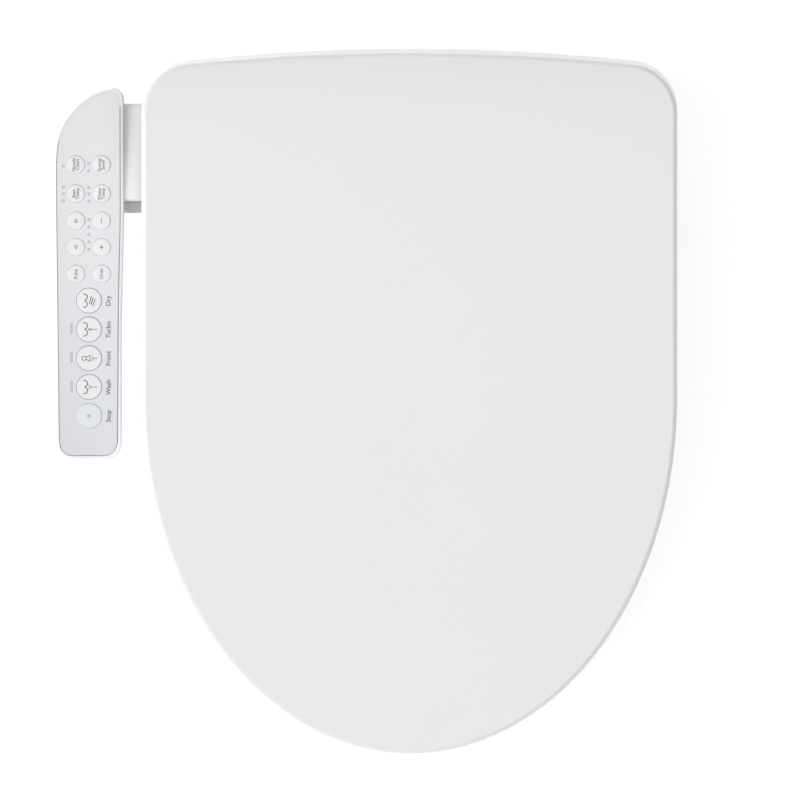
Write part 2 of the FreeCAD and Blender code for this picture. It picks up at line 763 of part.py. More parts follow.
UD, PD = V["upper_depth"], V["panel_depth"]
FT = V["overlay_thickness"]
SMALL = {
    "button_nozzle_clean": (-245.9, -36.8), "button_energy_save": (-227.0, -36.8),
    "button_seat_temp": (-245.9, -58.2), "button_water_temp": (-227.0, -58.2),
    "button_nozzle_back": (-245.9, -78.1), "button_pressure_down": (-227.0, -78.1),
    "button_nozzle_forward": (-245.9, -97.6), "button_pressure_up": (-227.0, -97.6),
    "button_pulse": (-245.9, -117.3), "button_child": (-227.0, -117.3),
}
LARGE = {
    "button_dry": (-236.3, -137.0), "button_turbo": (-236.3, -158.2), "button_front_wash": (-236.3, -179.5),
    "button_rear_wash": (-236.3, -200.7), "button_stop": (-236.3, -222.0),
}
LEDS = [
    (-255.0, -38.0), (-255.0, -53.4), (-255.0, -58.3), (-255.0, -63.4), (-236.3, -36.0), (-236.3, -41.3),
    (-236.3, -53.7), (-236.3, -58.4), (-236.3, -63.8), (-236.3, -77.3), (-236.3, -82.8), (-236.3, -88.4),
    (-236.3, -93.9), (-236.3, -99.2),
]
BARS = [(-249.3, -157.8), (-249.3, -178.9), (-249.3, -200.4)]
GAP = V["button_gap"]
holes = []
for (x, y), r in [(q, V["small_button_radius"]) for q in SMALL.values()] + [(q, V["large_button_radius"]) for q in LARGE.values()]:
    holes.append(cyl(r + GAP, (x, ly(y), -5.0), (x, ly(y), 1.0)))
led_holes = [cyl(V["led_radius"], (x, ly(y), -5.0), (x, ly(y), 1.0)) for x, y in LEDS]
bar_holes = [box(x - 0.8, x + 0.8, ly(y) - 4.0, ly(y) + 4.0, -5.0, 1.0) for x, y in BARS]
all_holes = Part.makeCompound(holes + led_holes + bar_holes)

upper = case_prism(-UD, 0.0)
upper = try_fillet(upper, 2.2, lambda e: e.BoundBox.ZMin > -1e-3)
upper = upper.cut(film_prism(-FT, 2.0, 0.25)).cut(case_prism(-UD - 1, -3.0, 2.2)).cut(all_holes)
lower = case_prism(-PD, -UD)
lower = try_fillet(lower, 5.0, lambda e: e.BoundBox.ZMax < -PD + 1e-3)
lower = lower.cut(case_prism(-PD + 2.5, -UD + 1, 2.2))
LUG = [(-252.0, -8.0), (-220.0, 6.0), (-251.0, -130.0), (-221.0, -131.0), (-250.0, -244.0), (-223.0, -244.0)]
for x, y in LUG:
    lug = cyl(3.4, (x, ly(y), -PD + 1.0), (x, ly(y), -13.0)).cut(cyl(1.1, (x, ly(y), -22.0), (x, ly(y), -12.0)))
    lower = lower.fuse(lug)
lower = lower.cut(box(-216.0, -208.0, ly(-46.0), ly(-12.0), -26.0 + 4.0, -12.5))
film = film_prism(-FT, 0.0).cut(all_holes)
pcb = box(-254.5, -217.5, ly(-246.5), ly(2.0), -12.6, -11.0)
pcb = pcb.common(case_prism(-14.0, -10.0, 3.0))
for x, y in LUG:
    pcb = pcb.cut(cyl(1.3, (x, ly(y), -20), (x, ly(y), -5)))
for x, y in list(SMALL.values()) + list(LARGE.values()):
    pcb = pcb.fuse(box(x - 3, x + 3, ly(y) - 3, ly(y) + 3, -11.0, -9.9)).fuse(cyl(1.6, (x, ly(y), -10.0), (x, ly(y), -9.1)))
leds = []
for x, y in LEDS:
    leds.append(cyl(V["led_radius"], (x, ly(y), -4.0), (x, ly(y), 0.12)))
for x, y in BARS:
    leds.append(box(x - 0.8, x + 0.8, ly(y) - 4.0, ly(y) + 4.0, -4.0, 0.12))
for nm, sh in (("upper", upper), ("lower", lower), ("film", film), ("pcb", pcb)):
    print(nm, [round(q.Volume, 1) for q in sh.Solids][:6], sh.isValid())
feature("panel_upper_case", clean(upper), PANEL)
feature("panel_lower_case", clean(lower), PANEL)
feature("panel_overlay", clean(film), PANEL)
feature("panel_pcb", clean(pcb), PANEL)
feature("panel_leds", Part.makeCompound(leds), PANEL)


def button(label, x, y, radius_name, flange):
    """A domed key cap with a retaining flange and a plunger, turned about its own axis."""
    r = V[radius_name]
    place = PANEL.multiply(Placement(vec(x, ly(y), 0), Rotation()))
    body = new_body(label, place)
    sk = new_sketch(body, label + "_profile", "XZ_Plane")
    import Sketcher

    top = V["button_proud"]
    pts = [
        (0.0, -8.1), (1.6, -8.1), (1.6, -4.2), (r + flange, -4.2), (r + flange, -3.2), (r, -3.2), (r, 0.25),
    ]
    ids = []
    for a, b in zip(pts, pts[1:]):
        ids.append(sk.addGeometry(Part.LineSegment(vec(a[0], a[1], 0), vec(b[0], b[1], 0)), False))
    edge = Part.Arc(vec(r, 0.25, 0), vec(r - 0.22, 0.68, 0), vec(r - 0.75, 0.88, 0))
    crown = Part.Arc(vec(r - 0.75, 0.88, 0), vec((r - 0.75) * 0.55, 1.104, 0), vec(1.0, top, 0))
    ids.append(sk.addGeometry(edge, False))
    ids.append(sk.addGeometry(crown, False))
    ids.append(sk.addGeometry(Part.LineSegment(vec(1.0, top, 0), vec(0, top, 0)), False))
    ids.append(sk.addGeometry(Part.LineSegment(vec(0, top, 0), vec(0, -8.1, 0)), False))
    sk.addConstraint(Sketcher.Constraint("Vertical", ids[5]))
    c = sk.addConstraint(Sketcher.Constraint("DistanceX", -1, 1, ids[5], 1, r))
    sk.setExpression("Constraints[%d]" % c, "Dims." + radius_name)
    revolve(body, sk)
    return body


for label, (x, y) in SMALL.items():
    button(label, x, y, "small_button_radius", 1.2)
for label, (x, y) in LARGE.items():
    button(label, x, y, "large_button_radius", 0.9)

# the arm that joins the panel to the unit, and the ledge of its bracket
arm = box(-210.4, -191.5, -63.4, 8.7, 34.0, 70.0)
arm = try_fillet(arm, 3.0, lambda e: e.BoundBox.XLength > 15 and e.BoundBox.ZMin > 69)
arm = try_fillet(arm, 4.0, lambda e: e.BoundBox.XLength > 15 and e.BoundBox.ZMax < 35)
arm = arm.cut(box(-212, -190, -60.6, 5.9, 36.8, 67.4))
arm = arm.cut(case_prism(-60.0, 0.0).transformGeometry(PANEL.toMatrix()))
feature("arm_cover", clean(arm))
ledge = box(-210.4, -191.5, -72.2, -63.4, 36.0, 50.0)
ledge = try_fillet(ledge, 2.0, lambda e: e.BoundBox.XLength > 15 and e.BoundBox.YMax < -70)
feature("arm_bracket", clean(ledge.cut(case_prism(-60.0, 0.0).transformGeometry(PANEL.toMatrix()))))

# ---------------------------------------------------------------- mounting plate (root), quick release

BS = V["bolt_spacing"] / 2
PTK = V["plate_thickness"]


def slot_xy(x, y, r, length, z0, z1):
    """A round-ended slot along X."""
    h = length / 2 - r
    s = cyl(r, (x - h, y, z0), (x - h, y, z1)).fuse(cyl(r, (x + h, y, z0), (x + h, y, z1)))
    return s.fuse(box(x - h, x + h, y - r, y + r, z0, z1)).removeSplitter()


plate = new_body("mount_plate")
sk = new_sketch(plate, "plate_outline")
sketch_rect(sk, -V["plate_width"] / 2, V["plate_width"] / 2, -V["plate_depth"] / 2, V["plate_depth"] / 2)
pad(plate, sk, PTK, "Dims.plate_thickness")
doc.recompute()
sk = new_sketch(plate, "rail_outline", "XY_Plane", lift(3.6))
for s in (-1, 1):
    x0, x1 = sorted((s * (V["plate_width"] / 2 - 1.0), s * 101.2))
    sketch_rect(sk, x0, x1, -40.0, 40.0)
pad(plate, sk, PTK - 3.6)
doc.recompute()
before = plate.Shape.Volume
sk = new_sketch(plate, "insert_seats")
for s in (-1, 1):
    sketch_rect(sk, s * BS - 18.0, s * BS + 18.0, -12.0, 12.0)
pk = pocket(plate, sk, 30.0, True)
doc.recompute()
if plate.Shape.Volume >= before:
    raise RuntimeError("insert seats cut nothing")

inserts = []
for s in (-1, 1):
    ins = box(s * BS - 18.0, s * BS + 18.0, -12.0, 12.0, 0.0, 8.5)
    ins = ins.cut(slot_xy(s * BS, 0.0, V["bolt_hole_radius"], V["bolt_slot_length"], -1.0, 9.5))
    inserts.append(ins)
feature("mount_inserts", Part.makeCompound(inserts))

feet = []
for x, y in ((-175.0, -62.0), (175.0, -62.0), (-120.0, -70.0), (120.0, -70.0), (-130.0, 8.0), (130.0, 8.0)):
    if abs(x) > 150:
        f = box(x - 7, x + 7, y - 7, y + 7, 0.0, 8.0)
    else:
        f = box(x - 9, x + 9, y - 6, y + 6, 0.0, 8.0)
    feet.append(f)
feature("base_feet", Part.makeCompound(feet))

screws = []
for x, y in SCREWS:
    head = cyl(V["screw_head_radius"], (x, y, 15.4), (x, y, 18.0))
    head = head.cut(box(x - 0.5, x + 0.5, y - 2.2, y + 2.2, 14.0, 16.4)).cut(box(x - 2.2, x + 2.2, y - 0.5, y + 0.5, 14.0, 16.4))
    screws.append(head.fuse(cyl(V["screw_shank_radius"], (x, y, 18.0), (x, y, 35.0))).removeSplitter())
feature("case_screws", Part.makeCompound(screws))

rel = box(186.6, 192.4, RBY - 11.0, RBY + 11.0, RBZ - 6.0, RBZ + 6.0)
rel = try_fillet(rel, 1.2, lambda e: e.BoundBox.XMin > 192.3)
rel = rel.fuse(box(170.0, 186.6, RBY - 4.0, RBY + 4.0, RBZ - 3.0, RBZ + 3.0))
feature("release_button", rel.removeSplitter())

# ---------------------------------------------------------------- hinges and dampers

PR = V["hinge_pin_radius"]
pins = [
    cyl(PR, (139.0, AY, AZ), (157.0, AY, AZ)).fuse(cyl(7.5, (140.0, AY, AZ), (143.9, AY, AZ))),
    cyl(PR, (-153.0, SY, SZ), (-132.8, SY, SZ)),
]
feature("hinge_pins", Part.makeCompound([p.removeSplitter() for p in pins]))
ld = cyl(11.4, (-138.0, AY, AZ), (-92.0, AY, AZ)).cut(cyl(PR + 0.06, (-139.0, AY, AZ), (-126.0, AY, AZ)))
feature("lid_damper", ld)
feature("lid_damper_shaft", cyl(PR - 0.02, (-157.0, AY, AZ), (-126.4, AY, AZ)))
sd = cyl(9.2, (156.0, SY, SZ), (186.0, SY, SZ)).cut(cyl(PR + 0.06, (155.0, SY, SZ), (166.0, SY, SZ)))
feature("seat_damper", sd)
feature("seat_damper_shaft", cyl(PR - 0.02, (132.8, SY, SZ), (165.6, SY, SZ)))

# ---------------------------------------------------------------- nozzle and its drive

NR, NL = V["nozzle_radius"], V["nozzle_length"]


def ncyl(r, u0, u1, n=0.0, x=0.0):
    return cyl(r, npt(u0, n, x), npt(u1, n, x))


tube = ncyl(NR, 0.0, NL).cut(ncyl(NR - 1.6, 14.0, NL + 1.0))
feature("nozzle_tube", tube)
tip = ncyl(NR + 1.6, -4.2, 0.0)
tip = try_fillet(tip, 1.0, lambda e: True)
tip = tip.fuse(nbox(-4.0, 0.0, -3.4, 3.4, 4.0, 11.4))
feature("nozzle_tip", tip.removeSplitter())
# toothed rack on the right side of the tube, module one
pitch = math.pi
teeth = []
rack = nbox(27.0, NL, -3.0, 3.0, NR - 1.4, 8.6).cut(ncyl(NR, 20.0, NL + 5))
U_PIN, X_PIN = 32.0, 17.0
for i in range(-2, 40):
    uc = U_PIN + (i + 0.5) * pitch
    if uc - 1.2 < 27.0 or uc + 1.2 > NL:
        continue
    w0, w1 = 0.98, 0.32
    pts = [npt(uc - w0, -3.0, 8.5), npt(uc + w0, -3.0, 8.5), npt(uc + w1, -3.0, 10.9), npt(uc - w1, -3.0, 10.9)]
    up6 = vec(*npt(0, 3.0)).sub(vec(*npt(0, -3.0)))
    teeth.append(poly_face(pts).extrude(up6))
rack = rack.multiFuse(teeth).removeSplitter()
feature("nozzle_rack", clean(rack))


def pinion_wire(n0):
    """A spur gear outline with slim straight-sided teeth; one tooth points at the rack."""
    z, q = int(V["pinion_teeth"]), []
    for i in range(z):
        a = math.pi + 2 * math.pi * i / z
        for r, w in ((5.7, -0.92), (V["pinion_pitch_radius"], -0.58), (7.85, -0.30), (7.85, 0.30), (V["pinion_pitch_radius"], 0.58), (5.7, 0.92)):
            b = a + w / r
            q.append(vec(*npt(U_PIN + r * math.sin(b), n0, X_PIN + r * math.cos(b))))
    return Part.makePolygon(q + [q[0]])


def ncol(r, n0, n1):
    return cyl(r, npt(U_PIN, n0, X_PIN), npt(U_PIN, n1, X_PIN))


up7 = vec(*npt(0, 3.0)).sub(vec(*npt(0, -3.0)))
pin = Part.Face(pinion_wire(-3.0)).extrude(up7)
pin = pin.fuse(ncol(3.6, 3.0, 4.6)).cut(ncol(1.56, -6.0, 8.0)).removeSplitter()
feature("nozzle_pinion", clean(pin))
motor = ncol(7.8, -13.0, -4.6).fuse(ncol(3.4, -4.6, -3.4)).fuse(ncol(1.5, -4.0, 4.4))
feature("nozzle_motor", motor.removeSplitter())
guide = nbox(2.4, 20.0, -9.2, 8.8, -10.5, 10.5).cut(ncyl(NR + 0.35, -5, 40)).cut(nbox(-5, 40, -3.6, 3.6, 0, 16.0))
guide = guide.fuse(nbox(19.0, 100.0, -9.2, -7.0, -7.0, 7.0))
feature("nozzle_guide", clean(guide.removeSplitter()))

# ---------------------------------------------------------------- dryer

FX, FY = 92.0, 2.0
IR, FR = V["impeller_radius"], V["fan_case_radius"]
fan = cyl(FR + 2.0, (FX, FY, 18.0), (FX, FY, 44.0))
duct_x0, duct_x1 = 48.0, 82.0
fan = fan.fuse(box(59.0, 80.0, FY - 34.0, FY, 18.0, 40.0))
fan = fan.cut(cyl(FR, (FX, FY, 20.0), (FX, FY, 42.0))).cut(box(61.3, 78.0, FY - 40.0, FY, 20.0, 38.0))
fan = fan.cut(cyl(14.0, (FX, FY, 40.0), (FX, FY, 46.0))).cut(cyl(1.56, (FX, FY, 10.0), (FX, FY, 22.0)))
for q in ((FX - 22, FY + 12), (FX + 22, FY + 12), (FX, FY + 25.5)):
    fan = fan.cut(cyl(1.2, (q[0], q[1], 41.5), (q[0], q[1], 45.0)))
feature("fan_housing", clean(fan.removeSplitter()))
imp = cyl(9.0, (FX, FY, 22.5), (FX, FY, 26.0)).fuse(cyl(IR, (FX, FY, 22.0), (FX, FY, 23.6)))
blades = []
nb = int(V["impeller_blades"])
for i in range(nb):
    b = box(FX + IR - 5.0, FX + IR - 0.4, FY - 0.5, FY + 0.5, 23.0, 38.0)
    b.rotate(vec(FX + IR - 2.7, FY, 0), vec(0, 0, 1), 35)
    b.rotate(vec(FX, FY, 0), vec(0, 0, 1), 360.0 * i / nb)
    blades.append(b)
ring = cyl(IR, (FX, FY, 36.4), (FX, FY, 38.0)).cut(cyl(IR - 3.0, (FX, FY, 36.0), (FX, FY, 39.0)))
imp = imp.multiFuse(blades + [ring]).cut(cyl(1.5, (FX, FY, 20.0), (FX, FY, 30.0))).removeSplitter()
feature("fan_impeller", clean(imp))
feature("fan_motor", cyl(11.0, (FX, FY, 12.0 + 4.2), (FX, FY, 18.0)).fuse(cyl(1.45, (FX, FY, 18.0), (FX, FY, 25.5))).removeSplitter())
dy1 = FY - 34.0
duct = box(46.0, 84.0, -98.0, dy1, 17.0, 39.0)
duct = duct.cut(box(48.0, 82.0, -99.0, dy1 - 2.0, 19.0, 37.0)).cut(box(61.3, 78.0, dy1 - 3, dy1 + 1, 20.0, 37.0))
feature("dryer_duct", clean(duct))
coil = []
for i in range(5):
    z = 21.5 + i * 3.2
    coil.append(box(49.0, 81.0, -66.0, -50.0, z, z + 1.0))
frame_h = [box(49.0, 50.2, -67.0, -49.0, 19.0, 37.0), box(79.8, 81.0, -67.0, -49.0, 19.0, 37.0)]
feature("dryer_heater", clean(fuse(frame_h[0], *(coil + frame_h[1:]))))
flap = box(44.4, 85.6, -103.6, -102.0, 15.4, 32.6)
flap = flap.fuse(cyl(1.2, (44.4, -102.4, 32.8), (85.6, -102.4, 32.8)))
flap = flap.removeSplitter()
feature("dryer_flap", clean(flap))

# ---------------------------------------------------------------- water side and electrics

tank = box(-138.0, -46.0, -34.0, 24.0, 19.0, 66.0)
tank = try_fillet(tank, 5.0, lambda e: True)
tank = tank.cut(try_fillet(box(-135.5, -48.5, -31.5, 21.5, 21.5, 63.5), 3.0, lambda e: True))
tank = tank.cut(cyl(2.0, (-50.0, -20.0, 56.0), (-45.0, -20.0, 56.0))).cut(cyl(2.0, (-50.0, -8.0, 30.0), (-45.0, -8.0, 30.0)))
feature("water_tank", clean(tank))
th = cyl(3.0, (-120.0, 0.0, 30.0), (-64.0, 0.0, 30.0)).fuse(cyl(3.0, (-120.0, -14.0, 30.0), (-64.0, -14.0, 30.0)))
th = th.fuse(box(-67.0, -61.0, -17.0, 3.0, 27.0, 33.0)).removeSplitter()
feature("tank_heater", clean(th))
valve = box(148.0, 184.0, -22.0, 14.0, 30.2, 52.0)
valve = try_fillet(valve, 2.0, lambda e: e.BoundBox.ZMin > 51.9)
valve = valve.fuse(cyl(9.0, (160.0, -6.0, 52.0), (160.0, -6.0, 66.0)))
feature("inlet_valve", valve.removeSplitter())
IRD, IL = V["inlet_radius"], V["inlet_length"]
fit = cyl(IRD, (INX, INY, 2.5), (INX, INY, 2.5 + IL)).fuse(cyl(14.0, (INX, INY, 2.5 + IL), (INX, INY, 23.8)))
fit = fit.fuse(cyl(6.8, (INX, INY, 23.8), (INX, INY, 30.2))).cut(cyl(5.0, (INX, INY, 0.0), (INX, INY, 27.0)))
feature("inlet_fitting", fit.removeSplitter())
sel = cyl(13.0, (-30.0, -8.0, 19.0), (-30.0, -8.0, 38.0)).fuse(cyl(9.0, (-30.0, -8.0, 38.0), (-30.0, -8.0, 50.0)))
feature("flow_selector", sel.removeSplitter())
pcbm = box(-186.0, -148.0, -46.0, 12.0, 18.0, 19.6)
for x, y, w, d, h in ((-176, -36, 10, 14, 12), (-160, -30, 16, 10, 8), (-170, -8, 18, 16, 18), (-154, 4, 8, 8, 14), (-180, 6, 6, 10, 8)):
    pcbm = pcbm.fuse(box(x - w / 2, x + w / 2, y - d / 2, y + d / 2, 19.6, 19.6 + h))
feature("main_pcb", clean(pcbm.removeSplitter()))
gl = cyl(5.9, (GX, 33.0, GZ), (GX, 38.8, GZ)).fuse(cyl(8.5, (GX, 31.0, GZ), (GX, 35.5, GZ)))
gl = gl.cut(cyl(3.3, (GX, 30.0, GZ), (GX, 50.0, GZ)))
feature("cord_gland", gl.removeSplitter())


def hose(points, r):
    """Straight runs joined by tangent arcs."""
    pts = [vec(*p) for p in points]
    edges, here = [], pts[0]
    for i in range(1, len(pts) - 1):
        a, b = pts[i - 1].sub(pts[i]), pts[i + 1].sub(pts[i])
        la, lb = a.Length, b.Length
        a.normalize()
        b.normalize()
        turn = math.pi - a.getAngle(b)
        cutb = 0.45 * min(la, lb)
        rad = cutb / math.tan(turn / 2)
        p, q = pts[i].add(vec(*a).multiply(cutb)), pts[i].add(vec(*b).multiply(cutb))
        bis = vec(*a).add(vec(*b))
        bis.normalize()
        m = pts[i].add(bis.multiply(rad / math.cos(turn / 2) - rad))
        edges += [Part.makeLine(here, p), Part.Arc(p, m, q).toShape()]
        here = q
    edges.append(Part.makeLine(here, pts[-1]))
    wire = Part.Wire(edges)
    d = pts[1].sub(pts[0])
    prof = Part.Wire([Part.Circle(pts[0], d, r).toShape()])
    return wire.makePipeShell([prof], True, False)


TR = V["tube_radius"]
lines = [
    hose(
        [(148.0, -10.0, 46.0), (136.0, -10.0, 46.0), (118.0, -24.0, 51.0), (60.0, -30.0, 56.0), (0.0, -26.0, 57.0), (-30.0, -20.0, 56.0), (-46.0, -20.0, 56.0)],
        TR,
    ),
    cyl(TR, (-46.0, -8.0, 30.0), (-42.8, -8.0, 30.0)),
]
feature("water_tubes", Part.makeCompound(lines))


# ---------------------------------------------------------------- check and write

doc.recompute()
bad = [o.Label for o in doc.Objects if "Invalid" in o.State or "Error" in o.State]
for label, obj in PARTS.items():
    if obj.Shape.isNull() or not obj.Shape.isValid() or not obj.Shape.Solids:
        bad.append(label)
if bad:
    raise RuntimeError("failed: %s" % bad)
os.makedirs("parts", exist_ok=True)
for label, obj in PARTS.items():
    obj.Shape.exportStep("parts/%s.step" % label)
    bb = obj.Shape.BoundBox
    print(
        "%-22s solids %d  volume %.0f  x %.1f..%.1f y %.1f..%.1f z %.1f..%.1f"
        % (label, len(obj.Shape.Solids), obj.Shape.Volume, bb.XMin, bb.XMax, bb.YMin, bb.YMax, bb.ZMin, bb.ZMax)
    )
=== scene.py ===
import json
import math

import bpy
from mathutils import Matrix, Vector


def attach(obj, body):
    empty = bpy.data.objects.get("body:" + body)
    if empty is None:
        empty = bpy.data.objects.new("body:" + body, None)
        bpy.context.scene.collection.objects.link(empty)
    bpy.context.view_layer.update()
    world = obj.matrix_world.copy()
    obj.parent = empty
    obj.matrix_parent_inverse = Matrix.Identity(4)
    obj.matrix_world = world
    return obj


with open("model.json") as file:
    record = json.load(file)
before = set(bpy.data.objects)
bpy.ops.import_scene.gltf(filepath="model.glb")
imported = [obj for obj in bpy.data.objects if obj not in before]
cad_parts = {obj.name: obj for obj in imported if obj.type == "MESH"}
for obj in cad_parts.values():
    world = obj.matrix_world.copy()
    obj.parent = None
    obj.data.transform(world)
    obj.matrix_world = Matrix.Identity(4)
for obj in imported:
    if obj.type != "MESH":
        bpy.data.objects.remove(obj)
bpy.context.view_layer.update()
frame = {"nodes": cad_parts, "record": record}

NODES = frame["nodes"]
scene = bpy.context.scene


# ---------------------------------------------------------------- materials

def material(name, base, rough=0.3, rvar=0.05, cvar=0.02, bump=0.02, fine=1400.0, coarse=22.0, metal=0.0,
             coat=0.0, grade=None, streak=None, alpha=None, trans=0.0):
    """A moulded or machined surface: faint tint drift, roughness that varies, and a fine relief."""
    m = bpy.data.materials.new(name)
    m.use_nodes = True
    nt = m.node_tree
    n, l = nt.nodes, nt.links
    bsdf = n["Principled BSDF"]
    tc = n.new("ShaderNodeTexCoord")
    mp = n.new("ShaderNodeMapping")
    l.new(tc.outputs["Object"], mp.inputs["Vector"])
    if streak:
        mp.inputs["Scale"].default_value = streak
    big = n.new("ShaderNodeTexNoise")
    big.inputs["Scale"].default_value = coarse
    big.inputs["Detail"].default_value = 3.0
    l.new(tc.outputs["Object"], big.inputs["Vector"])
    small = n.new("ShaderNodeTexNoise")
    small.inputs["Scale"].default_value = fine
    small.inputs["Detail"].default_value = 4.0
    l.new(mp.outputs["Vector"], small.inputs["Vector"])
    ramp = n.new("ShaderNodeValToRGB")
    dark = [c * (1.0 - cvar) for c in base]
    ramp.color_ramp.elements[0].position = 0.3
    ramp.color_ramp.elements[0].color = (*dark, 1)
    ramp.color_ramp.elements[1].position = 0.7
    ramp.color_ramp.elements[1].color = (*base, 1)
    l.new(big.outputs["Fac"], ramp.inputs["Fac"])
    colour = ramp.outputs["Color"]
    if grade:
        axis, a, b, other = grade
        sep = n.new("ShaderNodeSeparateXYZ")
        l.new(tc.outputs["Object"], sep.inputs["Vector"])
        mr = n.new("ShaderNodeMapRange")
        mr.inputs["From Min"].default_value = a
        mr.inputs["From Max"].default_value = b
        l.new(sep.outputs[axis], mr.inputs["Value"])
        mix = n.new("ShaderNodeMix")
        mix.data_type = "RGBA"
        l.new(mr.outputs["Result"], mix.inputs["Factor"])
        l.new(colour, mix.inputs["A"])
        mix.inputs["B"].default_value = (*other, 1)
        colour = mix.outputs["Result"]
    l.new(colour, bsdf.inputs["Base Color"])
    rr = n.new("ShaderNodeMapRange")
    rr.inputs["To Min"].default_value = max(0.02, rough - rvar)
    rr.inputs["To Max"].default_value = min(1.0, rough + rvar)
    mixn = n.new("ShaderNodeMath")
    mixn.operation = "MULTIPLY_ADD"
    mixn.inputs[1].default_value = 0.5
    l.new(small.outputs["Fac"], mixn.inputs[0])
    half = n.new("ShaderNodeMath")
    half.operation = "MULTIPLY"
    half.inputs[1].default_value = 0.5
    l.new(big.outputs["Fac"], half.inputs[0])
    l.new(half.outputs["Value"], mixn.inputs[2])
    l.new(mixn.outputs["Value"], rr.inputs["Value"])
    l.new(rr.outputs["Result"], bsdf.inputs["Roughness"])
    bp = n.new("ShaderNodeBump")
    bp.inputs["Strength"].default_value = bump
    bp.inputs["Distance"].default_value = 0.0004
    l.new(small.outputs["Fac"], bp.inputs["Height"])
    l.new(bp.outputs["Normal"], bsdf.inputs["Normal"])
    bsdf.inputs["Metallic"].default_value = metal
    if coat:
        bsdf.inputs["Coat Weight"].default_value = coat
        bsdf.inputs["Coat Roughness"].default_value = 0.06
    if trans:
        bsdf.inputs["Transmission Weight"].default_value = trans
    return m


M = {
    "lid": material("lid_gloss_white", (0.728, 0.728, 0.734), 0.34, 0.05, 0.012, 0.025, 420.0, 6.0),
    "gloss": material("moulded_gloss_white", (0.75, 0.75, 0.757), 0.28, 0.05, 0.015, 0.03, 520.0, 9.0, coat=0.1),
    "satin": material("moulded_satin_white", (0.76, 0.76, 0.765), 0.48, 0.08, 0.03, 0.10, 1500.0, 14.0),
    "case": material("panel_case_white", (0.81, 0.81, 0.815), 0.28, 0.05, 0.012, 0.03, 700.0, 12.0, coat=0.15),
    "film": material("panel_film", (0.648, 0.655, 0.669), 0.36, 0.07, 0.012, 0.05, 2600.0, 20.0,
                     grade=("Y", -0.10, -0.25, (0.600, 0.608, 0.632))),
    "key": material("key_white", (0.69, 0.695, 0.708), 0.30, 0.06, 0.012, 0.03, 1800.0, 60.0, coat=0.15),
    "key_stop": material("key_stop_white", (0.645, 0.665, 0.69), 0.30, 0.06, 0.012, 0.03, 1800.0, 60.0, coat=0.15),
    "lens": material("led_lens", (0.47, 0.475, 0.50), 0.22, 0.05, 0.05, 0.02, 2400.0, 300.0),
    "bar": material("bar_lens", (0.60, 0.61, 0.64), 0.25, 0.05, 0.04, 0.02, 2400.0, 300.0),
    "grey": material("grey_plastic", (0.60, 0.60, 0.61), 0.45, 0.09, 0.05, 0.10, 1300.0, 30.0),
    "mech": material("black_plastic", (0.035, 0.037, 0.04), 0.42, 0.10, 0.15, 0.12, 1600.0, 40.0),
    "gear": material("acetal", (0.74, 0.70, 0.58), 0.38, 0.08, 0.04, 0.05, 1500.0, 60.0),
    "rubber": material("grey_rubber", (0.20, 0.205, 0.215), 0.75, 0.10, 0.12, 0.30, 1900.0, 45.0),
    "rubber_w": material("white_rubber", (0.66, 0.66, 0.65), 0.68, 0.10, 0.05, 0.25, 1900.0, 45.0),
    "steel": material("brushed_steel", (0.60, 0.60, 0.61), 0.30, 0.10, 0.06, 0.12, 900.0, 30.0, metal=1.0, streak=(12.0, 1.0, 1.0)),
    "brass": material("brass", (0.72, 0.55, 0.28), 0.30, 0.08, 0.08, 0.08, 1100.0, 60.0, metal=1.0),
    "board": material("circuit_board", (0.03, 0.20, 0.09), 0.40, 0.08, 0.25, 0.10, 900.0, 220.0),
    "foil": material("heater_foil", (0.75, 0.75, 0.76), 0.34, 0.12, 0.06, 0.35, 500.0, 80.0, metal=1.0),
    "ink": material("grey_ink", (0.085, 0.09, 0.10), 0.55, 0.08, 0.12, 0.05, 3000.0, 300.0),
    "ink_soft": material("soft_grey_ink", (0.30, 0.31, 0.33), 0.55, 0.08, 0.10, 0.05, 3000.0, 300.0),
    # painted shade: a dark line standing in for the edge shadow where the recessed film meets the case
    "line": material("painted_edge_shade", (0.27, 0.275, 0.29), 0.45, 0.08, 0.10, 0.05, 3000.0, 100.0),
    "ring": material("key_ring", (0.22, 0.225, 0.24), 0.40, 0.08, 0.10, 0.05, 3000.0, 300.0),
    "ring_blue": material("stop_ring", (0.62, 0.73, 0.79), 0.40, 0.08, 0.06, 0.05, 3000.0, 300.0),
    "blue": material("stop_mark", (0.26, 0.55, 0.68), 0.45, 0.08, 0.06, 0.05, 3000.0, 300.0),
}
SLOT = {
    "white_gloss": "gloss", "white_matte": "satin", "panel_film": "film", "key_white": "key", "led_lens": "lens",
    "grey_plastic": "grey", "mechanism": "mech", "gear_plastic": "gear", "rubber_grey": "rubber",
    "rubber_white": "rubber_w", "steel": "steel", "brass": "brass", "board": "board", "foil": "foil",
}
OWN = {
    "lid_shell": "lid", "panel_upper_case": "case", "panel_lower_case": "case", "arm_cover": "case", "arm_bracket": "gloss",
    "button_stop": "key_stop",
}
for sp in frame["record"]["subparts"]:
    o = NODES[sp["node"]]
    pick = M[OWN.get(sp["node"], SLOT[sp["material_slot"]])]
    o.data.materials.clear()
    o.data.materials.append(pick)

# ---------------------------------------------------------------- panel frame

TILT = math.radians(3.34)
C, S = math.cos(TILT), math.sin(TILT)


def on_panel(x, y, z):
    """Metres, from a plan position in millimetres and a height above the panel's face."""
    t = (y - 20.0) / C
    return Vector((x, 20.0 + t * C - z * S, 78.0 + t * S + z * C)) / 1000.0


def dome(radius):
    """Height of a key's crown above the panel's face."""
    edge = radius - 0.75

    def height(dx, dy):
        q = min(1.0, math.hypot(dx, dy) / edge)
        return 1.2 - 0.32 * q * q
    return height


def flat(z):
    return lambda dx, dy: z


